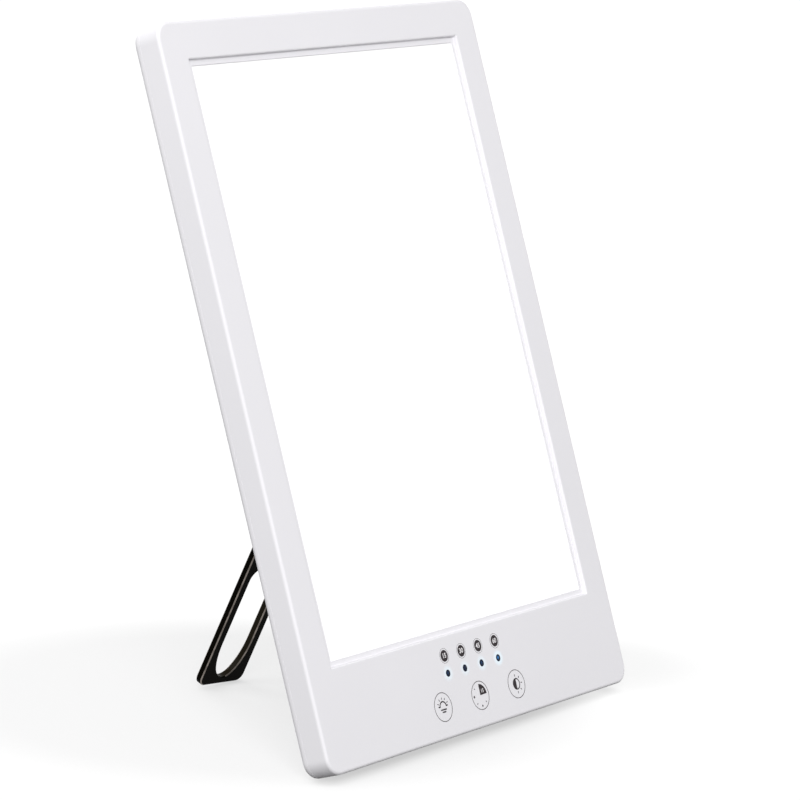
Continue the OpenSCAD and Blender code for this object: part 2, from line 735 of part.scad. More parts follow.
// Leg hanging straight down from the hinge axis, which is its origin
module hanging_leg() {
    slot_r = leg_w / 2 - leg_bar;
    slot_z0 = -leg_len + leg_sole;
    difference() {
        union() {
            across(-leg_t / 2, leg_t / 2) {
                plate_outline(-leg_w / 2, leg_w / 2, -leg_len + foot_r, heel_len);
                plate_outline(-foot_x, foot_x, -leg_len, -leg_len + foot_r + 1);
                for (s = [-1, 1]) translate([s * foot_x, -leg_len + foot_r]) circle(foot_r);
            }
            cross_rod(0, 0, knuckle_r, -leg_w / 2, leg_w / 2);
        }
        cross_rod(0, 0, pin_r + run, -leg_w, leg_w);
        across(-leg_t, leg_t) polygon(concat(
            arch(slot_r, slot_crown, slot_z0 + slot_len - slot_crown, 1),
            arch(slot_r, slot_arch, slot_z0 + slot_arch, -1)));
        // the heel is cut square to the round base that it rests on
        rotate([-leg_open, 0, 0]) translate([-leg_w, stop_gap - 2 * base_drop, -heel_len])
            cube([2 * leg_w, base_drop, 3 * heel_len]);
    }
}

module leg() color([0.06, 0.05, 0.04]) stand_turned()
    translate([0, hinge_y, hinge_z]) rotate([leg_open, 0, 0]) hanging_leg();

front_bezel();
rear_cover();
diffuser_panel();
prism_film();
light_guide();
reflector_sheet();
back_plate();
led_strip_left();
led_strip_right();
led_chips();
control_board();
controller_chip();
driver_coils();
capacitors();
touch_pads();
indicator_leds();
indicator_lenses();
dc_jack();
jack_pin();
jack_leads();
led_leads();
case_screws();
plate_screws();
board_screws();
foot_pads();
swivel_base();
glide_ring();
wave_washer();
keeper_washer();
swivel_screw();
hinge_pin();
pin_clip();
hinge_washers();
leg();
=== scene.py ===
"""The looks of a light therapy lamp: a thin white case with a lit window, which leans back on
a black slotted leg. Every piece is drawn in the lamp's own frame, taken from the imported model,
in metres: x to the right, y from the front face to the back, z up along the face."""
import json
import math

import bmesh
import bpy
from mathutils import Euler, Matrix, Vector

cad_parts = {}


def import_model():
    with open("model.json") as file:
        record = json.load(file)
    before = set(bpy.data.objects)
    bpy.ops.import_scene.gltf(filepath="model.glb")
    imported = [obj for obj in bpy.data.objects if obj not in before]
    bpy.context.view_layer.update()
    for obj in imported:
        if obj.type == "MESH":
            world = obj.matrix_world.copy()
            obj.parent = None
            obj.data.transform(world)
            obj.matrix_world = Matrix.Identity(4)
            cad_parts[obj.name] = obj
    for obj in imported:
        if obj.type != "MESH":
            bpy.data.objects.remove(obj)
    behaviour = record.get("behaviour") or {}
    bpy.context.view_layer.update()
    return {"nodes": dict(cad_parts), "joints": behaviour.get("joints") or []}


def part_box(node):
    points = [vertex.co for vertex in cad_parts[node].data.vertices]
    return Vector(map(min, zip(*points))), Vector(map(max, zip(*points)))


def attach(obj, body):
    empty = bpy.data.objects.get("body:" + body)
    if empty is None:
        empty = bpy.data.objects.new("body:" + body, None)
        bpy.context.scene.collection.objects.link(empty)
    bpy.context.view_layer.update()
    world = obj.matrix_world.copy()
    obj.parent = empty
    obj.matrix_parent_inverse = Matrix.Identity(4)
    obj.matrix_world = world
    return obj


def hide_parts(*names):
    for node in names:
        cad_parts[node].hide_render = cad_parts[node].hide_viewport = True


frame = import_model()

MM = 0.001
NODES = frame["nodes"]
JOINTS = {joint["name"]: joint for joint in frame["joints"]}


# ------------------------------------------------------------------ frames and sizes

def basis(x, y, origin):
    """A frame with the given x and y directions."""
    z = x.cross(y)
    return Matrix.Translation(origin) @ Matrix((x, y, z)).transposed().to_4x4()


def span(node, place):
    """Lowest and highest corner of a node in the frame that place gives."""
    back = place.inverted()
    points = [back @ v.co for v in NODES[node].data.vertices]
    return Vector(map(min, zip(*points))), Vector(map(max, zip(*points)))


def lamp_frame():
    """The lamp's frame: the middle of the bottom edge of the front face, leant back."""
    y = Vector(JOINTS["base_swivel"]["axis"])
    tilt = basis(Vector((1, 0, 0)), y, Vector())
    low = span("front_bezel", tilt)[0]
    return tilt @ Matrix.Translation((0, low.y, low.z))


HERE = Matrix.Identity(4)
LAMP = lamp_frame()
SWIVEL_X = -Vector(JOINTS["leg_hinge"]["axis"])
SWIVEL_Y = Vector(JOINTS["base_swivel"]["axis"])
SWIVEL = basis(SWIVEL_X, SWIVEL_Y, Vector(JOINTS["base_swivel"]["pos_m"]))
LEG_OPEN = math.radians(JOINTS["leg_hinge"]["range_deg"][1])
LEG = basis(SWIVEL_X, SWIVEL_Y, Vector(JOINTS["leg_hinge"]["pos_m"])) @ Matrix.Rotation(LEG_OPEN, 4, "X")


def spots(node, apart):
    """Middles of a node's separate solids in the lamp's frame, left to right, bottom to top."""
    back = LAMP.inverted()
    groups = []
    for vertex in NODES[node].data.vertices:
        point = back @ vertex.co
        near = [g for g in groups if math.hypot(g[0].x - point.x, g[0].z - point.z) < apart]
        if near:
            near[0].append(point)
        else:
            groups.append([point])
    middles = [(Vector(map(min, zip(*g))) + Vector(map(max, zip(*g)))) / 2 for g in groups]
    return sorted(middles, key=lambda p: (round(p.z, 3), p.x))


# Case
case_lo, case_hi = span("rear_cover", LAMP)
HALF_W = case_hi.x
CASE_H = case_hi.z
BACK_Y = case_hi.y
SEAM_Y = span("front_bezel", LAMP)[1].y
LIP_Y = case_lo.y
MID_Z = CASE_H / 2
CORNER_R = 7.5 * MM
FACE_EDGE_R = 1.3 * MM
BACK_EDGE_R = 2.4 * MM
SIDE_WALL = 2 * MM
FACE_WALL = 2.1 * MM
BACK_WALL = 2 * MM
LIP_T = 1.2 * MM
SEAM_GAP = 0.03 * MM
SEAM_R = 0.06 * MM
SLIP = 0.1 * MM
HUB_R = 8 * MM

# Window: the sheets reach under its frame by SHEET_LAP. Its lip is rounded from LIP_OUT outside
# the window's edge. From there a steep wall goes down to its foot, and a ledge rises a little from
# the foot to its end over the sheets. Foot and end are (inset from the window's edge, depth).
SHEET_LAP = 1.7 * MM
LIP_R = 0.7 * MM
LIP_OUT = 0.35 * MM
LIP_STEPS = 6
WALL_FOOT = (0.5 * MM, 1.75 * MM)
LEDGE_END = (2.9 * MM, 1.6 * MM)
sheet_lo, sheet_hi = span("diffuser_panel", LAMP)
WIN_X = sheet_hi.x - SHEET_LAP
WIN_Z0 = sheet_lo.z + SHEET_LAP
WIN_Z1 = sheet_hi.z - SHEET_LAP
WIN_CORNER_R = 0.5 * MM

# Controls
LENSES = spots("indicator_lenses", 6 * MM)
KEYS = spots("touch_pads", 14 * MM)
LENS_R = 1.5 * MM
LENS_SLIP = 0.03 * MM
KEY_R = 6 * MM

# Swivel: the lower face and the thickness of its round base, and the hinge's line
BASE_Y = span("glide_ring", SWIVEL)[1].y + 0.02 * MM
BASE_T = 3.5 * MM
HINGE = SWIVEL.inverted() @ Vector(JOINTS["leg_hinge"]["pos_m"])

# Smoothness
CORNER_STEPS = 12
EDGE_STEPS = 8
SUPPORT = 0.12 * MM   # width of the strip that keeps a flat face flat beside a round one
CREASE = math.radians(32)
PAST = 1 * MM         # how far a cutter reaches past what it cuts


# ------------------------------------------------------------------ node graphs

class Val:
    """One output socket, with arithmetic that adds Math nodes."""

    def __init__(self, graph, socket):
        self.graph = graph
        self.socket = socket

    def __add__(self, other):
        return self.graph.math("ADD", self, other)

    def __mul__(self, other):
        return self.graph.math("MULTIPLY", self, other)


class Graph:
    """A node tree of a material, the world or a modifier."""

    def __init__(self, tree):
        self.tree = tree
        tree.nodes.clear()

    def node(self, kind, settings=None, values=None):
        """Adds a node: its settings first, then the values or links of its inputs. Gives its outputs."""
        made = self.tree.nodes.new(kind)
        for key, value in (settings or {}).items():
            setattr(made, key, value)
        for key, value in (values or {}).items():
            socket = made.inputs[key] if isinstance(key, int) else next(
                s for s in made.inputs if s.enabled and s.name == key)
            if isinstance(value, Val):
                self.tree.links.new(value.socket, socket)
            else:
                socket.default_value = value
        return {s.name: Val(self, s) for s in made.outputs if s.enabled}

    def math(self, operation, a, b):
        return self.node("ShaderNodeMath", {"operation": operation}, {0: a, 1: b})["Value"]

    def ramp(self, value, low, high, out_low=0.0, out_high=1.0):
        """Smooth step of a value from low..high to out_low..out_high."""
        made = self.node("ShaderNodeMapRange", {"interpolation_type": "SMOOTHSTEP"}, {
            "Value": value, "From Min": low, "From Max": high, "To Min": out_low, "To Max": out_high})
        return made["Result"]

    def blend(self, factor, a, b):
        """Mix of two colours."""
        return self.node("ShaderNodeMix", {"data_type": "RGBA"}, {"Factor": factor, "A": a, "B": b})["Result"]

    def noise(self, scale, detail=2.0, stretch=(1, 1, 1)):
        """Noise on Object coordinates; scale is in patches a metre."""
        place = self.node("ShaderNodeTexCoord")["Object"]
        if stretch != (1, 1, 1):
            place = self.node("ShaderNodeMapping", None, {"Vector": place, "Scale": stretch})["Vector"]
        values = {"Vector": place, "Scale": scale, "Detail": detail}
        return self.node("ShaderNodeTexNoise", None, values)["Fac"]

    def distance(self, point):
        """Distance of the shaded point from a fixed one."""
        place = self.node("ShaderNodeTexCoord")["Object"]
        return self.node("ShaderNodeVectorMath", {"operation": "DISTANCE"}, {0: place, 1: point})["Value"]

    def bump(self, height, depth):
        values = {"Strength": 1.0, "Distance": depth, "Height": height}
        return self.node("ShaderNodeBump", None, values)["Normal"]

    def seen(self):
        """1 for rays of the eye, of reflections and through clear things, 0 for rays that light."""
        path = self.node("ShaderNodeLightPath")
        return self.math("MAXIMUM", path["Is Camera Ray"],
                         self.math("MAXIMUM", path["Is Glossy Ray"], path["Is Transmission Ray"]))

    def surface(self, **values):
        """Principled shader to the output, with keys such as base_color for Base Color."""
        names = {key: key.replace("_", " ").title().replace("Ior", "IOR") for key in values}
        shader = self.node("ShaderNodeBsdfPrincipled", None, {names[k]: v for k, v in values.items()})["BSDF"]
        self.node("ShaderNodeOutputMaterial", None, {"Surface": shader})

    def moulded(self, colour, roughness=0.5, grain=0.45 * MM, depth=0.004 * MM, drift=0.02, **extra):
        """Moulded plastic: a spark-eroded grain, and colour and gloss that drift a little."""
        slow = self.noise(14.0)
        grit = self.noise(1 / grain, 3.0)
        self.surface(
            base_color=self.blend(slow, shade(colour, 1 - drift), shade(colour, 1 + drift)),
            roughness=self.ramp(grit, 0.3, 0.7, roughness - 0.03, roughness + 0.03),
            normal=self.bump(grit, depth), **extra)


def rgb(r, g, b):
    return (r, g, b, 1.0)


def shade(colour, factor):
    """A colour made darker or lighter."""
    return rgb(*(min(channel * factor, 1.0) for channel in colour[:3]))


def new_material(name):
    material = bpy.data.materials.new(name)
    material.use_nodes = True
    return material, Graph(material.node_tree)


# ------------------------------------------------------------------ materials

def moulded(name, *values, **more):
    """A material of moulded plastic; values as in Graph.moulded."""
    material, g = new_material(name)
    g.moulded(*values, **more)
    return material


WHITE = rgb(0.84, 0.83, 0.86)
SHELL_SPECULAR = 0.1


def housing():
    """Satin white plastic of the two shells."""
    return moulded("housing_white", WHITE, specular_ior_level=SHELL_SPECULAR)


def housing_front():
    """The same white, with a painted glow: the face itself emits pale blue light in a ring round each
    indicator lens.
    """
    material, g = new_material("housing_front_white")
    glow_r = 3.9 * MM
    glow = 0.0
    for strength, spot in zip((0.8, 0.65, 0.8, 1.3), LENSES):
        away = g.distance(LAMP @ Vector((spot.x, 0, spot.z)))
        glow = g.ramp(away, LENS_R, glow_r, strength, 0.0) + glow
    g.moulded(
        WHITE,
        specular_ior_level=SHELL_SPECULAR,
        emission_color=g.blend(glow, rgb(0, 0, 0), rgb(0.05, 0.16, 0.2)),
        emission_strength=1.0)
    return material


def lit_panel():
    """Opal sheet, lit evenly from behind."""
    material, g = new_material("opal_lit")
    grit = g.noise(1 / (0.3 * MM), 2.0)
    g.surface(
        base_color=g.blend(g.noise(30.0), rgb(0.9, 0.9, 0.9), rgb(0.95, 0.95, 0.95)),
        roughness=g.ramp(grit, 0.3, 0.7, 0.5, 0.6),
        emission_color=g.blend(g.noise(9.0), rgb(0.99, 0.995, 1.0), rgb(1, 1, 1)),
        emission_strength=0.15)
    return material


def lens_blue():
    """Dark blue lens with light near its middle, brightest in the last of the row."""
    material, g = new_material("lens_blue")
    shift = Vector((-0.35, 0, 0.15)) * MM
    core_r0 = 0.1 * MM
    core_r1 = 1.05 * MM
    core = 0.0
    for strength, spot in zip((0.14, 0.06, 0.2, 1.0), LENSES):
        away = g.distance(LAMP @ (Vector((spot.x, 0, spot.z)) + shift))
        core = g.ramp(away, core_r0, core_r1, strength, 0.0) + core
    g.surface(
        base_color=g.blend(core, rgb(0.0018, 0.0055, 0.022), rgb(0.01, 0.06, 0.15)),
        roughness=g.ramp(g.noise(2500.0), 0.3, 0.7, 0.1, 0.16),
        specular_ior_level=0.12,
        emission_color=g.blend(core, rgb(0, 0.0005, 0.002), rgb(0.035, 0.16, 0.4)),
        emission_strength=1.0)
    return material


def ink(name, colour):
    """Screen-printed ink with a faintly uneven edge of gloss."""
    material, g = new_material(name)
    grit = g.noise(6000.0, 3.0)
    g.surface(
        base_color=g.blend(grit, shade(colour, 0.9), shade(colour, 1.1)),
        roughness=g.ramp(grit, 0.3, 0.7, 0.5, 0.62),
        normal=g.bump(grit, 0.001 * MM),
        specular_ior_level=0.2)
    return material


def enamel(name, tone, gloss):
    """Gloss black enamel with a brown cast and a faint orange peel."""
    material, g = new_material(name)
    peel = g.noise(650.0, 2.0)
    g.surface(
        base_color=g.blend(g.noise(60.0, 3.0), shade(tone, 0.7), shade(tone, 1.3)),
        roughness=g.ramp(peel, 0.3, 0.7, 0.13, 0.19),
        normal=g.bump(peel, 0.004 * MM),
        specular_ior_level=gloss)
    return material


def highlight_edge():
    """The leg's edges as bright, faintly streaked metal: a painted highlight along them."""
    material, g = new_material("leg_edge")
    highlight_noise = g.noise(260.0, 3.0)
    g.surface(
        base_color=g.blend(g.ramp(highlight_noise, 0.35, 0.65), rgb(0.14, 0.12, 0.105), rgb(0.25, 0.22, 0.195)),
        metallic=g.ramp(highlight_noise, 0.3, 0.7, 0.75, 0.9),
        roughness=g.ramp(highlight_noise, 0.3, 0.7, 0.22, 0.32))
    return material


def rolled(name, colour, roughness=0.32, along=(1, 1, 30)):
    """Bright metal with fine rolling or turning lines."""
    material, g = new_material(name)
    lines = g.noise(900.0, 3.0, along)
    g.surface(
        base_color=g.blend(lines, shade(colour, 0.92), shade(colour, 1.06)),
        metallic=1.0,
        roughness=g.ramp(lines, 0.3, 0.7, roughness - 0.06, roughness + 0.06),
        normal=g.bump(lines, 0.002 * MM))
    return material


def clear_sheet(name, colour, roughness):
    """Pale acrylic or film, with a fine prism or dot texture."""
    material, g = new_material(name)
    dots = g.noise(1600.0, 1.0)
    g.surface(
        base_color=g.blend(dots, shade(colour, 0.98), colour),
        roughness=g.ramp(dots, 0.3, 0.7, roughness, roughness + 0.08),
        normal=g.bump(dots, 0.002 * MM),
        ior=1.49)
    return material


def circuit():
    """Green solder mask over copper runs that show through as lighter lines."""
    material, g = new_material("circuit_board")
    place = g.node("ShaderNodeTexCoord")["Object"]
    runs = g.node("ShaderNodeTexVoronoi", {"feature": "DISTANCE_TO_EDGE", "distance": "EUCLIDEAN"},
                  {"Vector": place, "Scale": 320.0})["Distance"]
    copper = g.ramp(runs, 0.02, 0.06, 1.0, 0.0)
    g.surface(
        base_color=g.blend(copper, rgb(0.012, 0.11, 0.045), rgb(0.03, 0.21, 0.09)),
        roughness=g.ramp(copper, 0.0, 1.0, 0.3, 0.4),
        normal=g.bump(copper, 0.02 * MM))
    return material


def assign(piece, *materials):
    """Gives a piece these materials and no others."""
    piece.data.materials.clear()
    for material in materials:
        piece.data.materials.append(material)


# ------------------------------------------------------------------ mesh helpers

def arcs(corners, depth, steps):
    """Loop at one depth through four quarter arcs, each (middle x, middle z, radius x, radius z)."""
    loop = []
    for quarter, (x, z, radius_x, radius_z) in enumerate(corners):
        for step in range(steps + 1):
            angle = math.radians(90 * (quarter + step / steps))
            loop.append(Vector((x + radius_x * math.cos(angle), depth, z + radius_z * math.sin(angle))))
    return loop


def rounded(half_x, z0, z1, radius, depth, x=0.0, steps=CORNER_STEPS):
    """Loop round a rectangle with round corners; with a radius of half its width, a slot or circle."""
    right, left = x + half_x - radius, x - half_x + radius
    low, high = z0 + radius, z1 - radius
    return arcs([(right, high, radius, radius), (left, high, radius, radius),
                 (left, low, radius, radius), (right, low, radius, radius)], depth, steps)


def circle(x, z, radius, depth, steps=CORNER_STEPS):
    return rounded(radius, z - radius, z + radius, radius, depth, x, steps)


def turned(section, y=0.0, z=0.0, steps=CORNER_STEPS):
    """Circles round a line along x, one for each (x, radius)."""
    return [[Vector((x, y + p.x, z + p.z)) for p in circle(0, 0, radius, 0, steps)]
            for x, radius in section]


class Shape:
    """A mesh in the making, out of closed solids."""

    def __init__(self):
        self.bm = bmesh.new()

    def loft(self, loops, ring=False, finish=0):
        """Skin over equal loops; ring joins the last to the first, or else the ends are capped."""
        rows = [[self.bm.verts.new(p) for p in loop] for loop in loops]
        count = len(rows[0])
        finishes = finish if isinstance(finish, list) else [finish] * len(rows)
        for index in range(len(rows) if ring else len(rows) - 1):
            row, after = rows[index], rows[(index + 1) % len(rows)]
            for j in range(count):
                k = (j + 1) % count
                face = self.bm.faces.new((row[j], row[k], after[k], after[j]))
                face.material_index = finishes[index]
        if not ring:
            self.bm.faces.new(rows[0]).material_index = finishes[0]
            self.bm.faces.new(rows[-1]).material_index = finishes[-1]
        return self

    def prism(self, outline, y0, y1):
        """Solid between depths y0 and y1 with an outline of (x, z) points."""
        return self.loft([[Vector((x, y, z)) for x, z in outline] for y in (y0, y1)])

    def piece(self, name, place, *materials):
        """The finished object: doubles merged, faces outwards, its place in its mesh."""
        bmesh.ops.remove_doubles(self.bm, verts=self.bm.verts, dist=1e-7)
        bmesh.ops.recalc_face_normals(self.bm, faces=self.bm.faces)
        mesh = bpy.data.meshes.new(name)
        for material in materials:
            mesh.materials.append(material)
        self.bm.to_mesh(mesh)
        self.bm.free()
        mesh.transform(place)
        made = bpy.data.objects.new(name, mesh)
        bpy.context.scene.collection.objects.link(made)
        smooth(made)
        return made


def smooth(piece):
    """Smooth shading, with every edge sharper than CREASE kept sharp."""
    piece.data.shade_smooth()
    piece.data.set_sharp_from_angle(angle=CREASE)


def bake(piece):
    """Applies the modifiers of a piece to its mesh."""
    bpy.context.view_layer.update()
    evaluated = piece.evaluated_get(bpy.context.evaluated_depsgraph_get())
    mesh = bpy.data.meshes.new_from_object(evaluated)
    piece.modifiers.clear()
    old = piece.data
    piece.data = mesh
    mesh.name = piece.name
    bpy.data.meshes.remove(old)
    smooth(piece)


def combine(piece, other, operation="DIFFERENCE"):
    """Cuts the other piece out of this one, or adds it, and takes the other away."""
    modifier = piece.modifiers.new("combine", "BOOLEAN")
    modifier.operation = operation
    modifier.object = other
    modifier.solver = "EXACT"
    bake(piece)
    bpy.data.objects.remove(other)
    return piece


def outfit(piece, body, replaced=()):
    """Rides on a body and stands for CAD nodes, which it hides."""
    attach(piece, body)
    if replaced:
        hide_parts(*replaced)
    return piece


# ------------------------------------------------------------------ repeats

def copies_tree():
    """Geometry nodes that set copies of a template on points, each turned a step further."""
    tree = bpy.data.node_groups.new("copies_on_spots", "GeometryNodeTree")
    sockets = {}
    for name, kind in (("Spots", "NodeSocketGeometry"), ("Template", "NodeSocketObject"),
                       ("Turn", "NodeSocketFloat")):
        sockets[name] = tree.interface.new_socket(name, in_out="INPUT", socket_type=kind).identifier
    tree.interface.new_socket("Copies", in_out="OUTPUT", socket_type="NodeSocketGeometry")
    g = Graph(tree)
    given = g.node("NodeGroupInput")
    template = g.node("GeometryNodeObjectInfo", None, {"Object": given["Template"], "As Instance": True})
    turn = g.node("GeometryNodeInputIndex")["Index"] * given["Turn"]
    rotation = g.node("ShaderNodeCombineXYZ", None, {"Y": turn})["Vector"]
    placed = g.node("GeometryNodeInstanceOnPoints", None, {
        "Points": given["Spots"], "Instance": template["Geometry"], "Rotation": rotation})["Instances"]
    solid = g.node("GeometryNodeRealizeInstances", None, {"Geometry": placed})["Geometry"]
    g.node("NodeGroupOutput", None, {0: solid})
    return tree, sockets


COPIES, COPIES_INPUTS = copies_tree()


def copies(name, template, points, material, turn=0.0):
    """One piece out of copies of a template about its own origin, then the template goes."""
    mesh = bpy.data.meshes.new(name)
    mesh.from_pydata([tuple(p) for p in points], [], [])
    piece = bpy.data.objects.new(name, mesh)
    bpy.context.scene.collection.objects.link(piece)
    modifier = piece.modifiers.new("copies", "NODES")
    modifier.node_group = COPIES
    modifier[COPIES_INPUTS["Template"]] = template
    modifier[COPIES_INPUTS["Turn"]] = turn
    bake(piece)
    assign(piece, material)
    bpy.data.objects.remove(template)
    piece.data.transform(LAMP)
    return piece


# ------------------------------------------------------------------ shells

def case_outline(inset, depth):
    return rounded(HALF_W - inset, inset, CASE_H - inset, CORNER_R - inset, depth)


def window_outline(inset, depth):
    return rounded(WIN_X - inset, WIN_Z0 + inset, WIN_Z1 - inset, WIN_CORNER_R, depth)


def window_section():
    """The window's frame from the sheets out to the face: (inset, depth) pairs."""
    inset, depth = LEDGE_END
    foot_x, foot_y = WALL_FOOT
    section = [(inset, FACE_WALL), (inset, depth + SUPPORT), (inset - SUPPORT, depth),
               (foot_x + SUPPORT, foot_y + SUPPORT / 3), (foot_x, foot_y)]
    for step in range(LIP_STEPS + 1):
        angle = math.radians(90 * step / LIP_STEPS)
        section.append((LIP_R * math.cos(angle) - LIP_OUT, LIP_R * (1 - math.sin(angle))))
    section.append((-LIP_OUT - SUPPORT, 0))
    return section


def front_shell(material):
    """Front shell: window frame, face, rounded edge and side wall, down to the seam."""
    loops = [window_outline(inset, depth) for inset, depth in window_section()]
    loops.append(case_outline(FACE_EDGE_R + SUPPORT, 0))
    for step in range(EDGE_STEPS + 1):
        angle = math.radians(90 * step / EDGE_STEPS)
        loops.append(case_outline(FACE_EDGE_R * (1 - math.sin(angle)), FACE_EDGE_R * (1 - math.cos(angle))))
    loops.append(case_outline(0, FACE_EDGE_R + SUPPORT))
    loops.append(case_outline(0, SEAM_Y - SEAM_R))
    loops.append(case_outline(SEAM_R, SEAM_Y))
    loops.append(case_outline(SIDE_WALL, SEAM_Y))
    loops.append(case_outline(SIDE_WALL, FACE_WALL))
    made = Shape().loft(loops, ring=True).piece("front_shell", HERE, material)
    holes = Shape()
    for spot in LENSES:
        holes.loft([circle(spot.x, spot.z, LENS_R + LENS_SLIP, y * MM) for y in (-1, 3)])
    combine(made, holes.piece("lens_holes", HERE))
    combine(made, jack_hole())
    made.data.transform(LAMP)
    return outfit(made, "case", ["front_bezel"])


def jack_hole():
    """Cutter for the inlet's hole, with a countersunk rim."""
    nose_lo, nose_hi = span("dc_jack", LAMP)
    y = (nose_lo.y + nose_hi.y) / 2
    z = (nose_lo.z + nose_hi.z) / 2
    nose_r = 3.6 * MM
    rim_r = nose_r + 0.45 * MM
    rim_depth = 0.35 * MM
    section = [(HALF_W - SIDE_WALL - PAST, nose_r), (HALF_W - rim_depth, nose_r),
               (HALF_W + 0.1 * MM, rim_r), (HALF_W + PAST, rim_r)]
    return Shape().loft(turned(section, y, z)).piece("jack_hole", HERE)


def flared_slot(shape, x, z0, z1, radius, y0):
    """Adds a cutter from depth y0 out of the back face, where its rim opens."""
    flare = 0.3 * MM
    rows = [(y0, 0), (BACK_Y - flare, 0), (BACK_Y + 0.05 * MM, flare), (BACK_Y + PAST, flare)]
    shape.loft([rounded(radius + grow, z0 - grow, z1 + grow, radius + grow, y, x, 6)
                for y, grow in rows])


def back_shell(material):
    """Back cover: rim, rounded edge, back wall with its hub hole, and the lip inside."""
    rim_y = SEAM_Y + SEAM_GAP
    lip_in = SIDE_WALL + SLIP
    hub_r = HUB_R + 0.05 * MM
    bevel = 0.3 * MM
    inner_y = BACK_Y - BACK_WALL
    loops = [circle(0, MID_Z, hub_r, inner_y), circle(0, MID_Z, hub_r, BACK_Y - bevel),
             circle(0, MID_Z, hub_r + bevel, BACK_Y),
             case_outline(BACK_EDGE_R + SUPPORT, BACK_Y)]
    for step in range(EDGE_STEPS + 1):
        angle = math.radians(90 * step / EDGE_STEPS)
        loops.append(case_outline(BACK_EDGE_R * (1 - math.sin(angle)),
                                  BACK_Y - BACK_EDGE_R * (1 - math.cos(angle))))
    loops.append(case_outline(0, rim_y + SEAM_R))
    loops.append(case_outline(SEAM_R, rim_y))
    loops.append(case_outline(lip_in, rim_y))
    loops.append(case_outline(lip_in, LIP_Y))
    loops.append(case_outline(lip_in + LIP_T, LIP_Y))
    loops.append(case_outline(lip_in + LIP_T, inner_y))
    made = Shape().loft(loops, ring=True).piece("back_shell", HERE, material)
    combine(made, back_cuts())
    made.data.transform(LAMP)
    combine(made, pad_pockets())
    return outfit(made, "case", ["rear_cover"])


def back_cuts():
    """Cutters for the vents and the sunk screw holes."""
    vent_r = 1 * MM
    half_len = 8 * MM
    reach = HALF_W * 0.55
    pitch = 8 * MM
    rows = (CASE_H * 0.16, CASE_H * 0.87)
    screw_sink = 1.5 * MM
    cuts = Shape()
    for z in rows:
        for index in range(int(2 * reach / pitch) + 1):
            flared_slot(cuts, index * pitch - reach, z - half_len, z + half_len, vent_r, LIP_Y)
    for spot in SCREWS:
        flared_slot(cuts, spot.x, spot.z - SCREW_HOLE_R, spot.z + SCREW_HOLE_R, SCREW_HOLE_R,
                    BACK_Y - screw_sink)
    return cuts.piece("back_cuts", HERE)


# ------------------------------------------------------------------ feet

pad_lo, pad_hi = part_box("foot_pads")
PAD_X0 = min(v.co.x for v in NODES["foot_pads"].data.vertices if v.co.x > 0)


def pad_pockets():
    """Cutters for the pockets that the pads sit in."""
    cuts = Shape()
    grow = 0.03 * MM
    for side in (-1, 1):
        middle = side * (PAD_X0 + pad_hi.x) / 2
        half = (pad_hi.x - PAD_X0) / 2 + grow
        cuts.loft([[Vector((middle + sx * half, y, z)) for sx, z in (
            (1, pad_hi.z + grow), (-1, pad_hi.z + grow), (-1, -PAST), (1, -PAST))]
            for y in (pad_lo.y - grow, pad_hi.y + grow)])
    return cuts.piece("pad_pockets", HERE)


def foot_pads(material):
    """Two rubber pads with rounded ends and ribs across their soles."""
    rib = 1.2 * MM
    rib_r = 0.3 * MM
    rib_edge = 0.12 * MM
    margin = 0.2 * MM
    groove = 0.25 * MM
    round_r = 0.8 * MM
    shape = Shape()
    for side in (-1, 1):
        middle = side * (PAD_X0 + pad_hi.x) / 2
        half = (pad_hi.x - PAD_X0) / 2
        shape.loft([rounded(half, pad_lo.y, pad_hi.y, round_r, z, middle, 5)
                    for z in (groove, pad_hi.z)])
        count = int((2 * half - 2 * round_r) / (2 * rib))
        for index in range(count):
            x = middle + (index - (count - 1) / 2) * 2 * rib
            shape.loft([rounded(rib / 2 - grow, pad_lo.y + margin + grow, pad_hi.y - margin - grow,
                                rib_r, z, x, 4)
                        for z, grow in ((0, rib_edge), (0.1 * MM, 0), (groove + 0.02 * MM, 0))])
    # Loops lie in x and z, so depth and height change places here
    for vertex in shape.bm.verts:
        x, y, z = vertex.co
        vertex.co = (x, z, y)
    made = shape.piece("rubber_feet", HERE, material)
    return outfit(made, "case", ["foot_pads"])


# ------------------------------------------------------------------ screws

SCREWS = spots("case_screws", 5 * MM)
SCREW_HOLE_R = 2.3 * MM
SCREW_HEAD_R = 2.2 * MM
screw_lo, screw_hi = span("case_screws", LAMP)


def screw_template():
    """Pan-head screw along y, its head towards the back, with a cross recess."""
    head_y = screw_hi.y
    head_h = 1.2 * MM
    shank_r = 1.1 * MM
    section = [(shank_r, screw_lo.y), (shank_r, head_y - head_h), (SCREW_HEAD_R - 0.1 * MM, head_y - head_h),
               (SCREW_HEAD_R, head_y - head_h + 0.1 * MM), (SCREW_HEAD_R, head_y - 0.45 * MM),
               (SCREW_HEAD_R * 0.93, head_y - 0.22 * MM), (SCREW_HEAD_R * 0.75, head_y - 0.06 * MM),
               (SCREW_HEAD_R * 0.5, head_y)]
    screw = Shape().loft([circle(0, 0, r, y, 6) for r, y in section]).piece("screw", HERE)
    arm = 1.3 * MM
    half = 0.3 * MM
    quarter = ((arm, -half), (arm, half), (half, half))
    outline = [Matrix.Rotation(math.radians(90 * turn), 2) @ Vector(p) for turn in range(4) for p in quarter]
    cross = Shape().loft([[Vector((p.x * s, y, p.y * s)) for p in outline]
                          for y, s in ((head_y - 0.7 * MM, 0.6), (head_y + 0.3 * MM, 1.1))])
    return combine(screw, cross.piece("cross", HERE))


def case_screws(material):
    made = copies("cover_screws", screw_template(), [(p.x, 0, p.z) for p in SCREWS], material,
                  math.radians(37))
    return outfit(made, "case", ["case_screws"])


# ------------------------------------------------------------------ controls

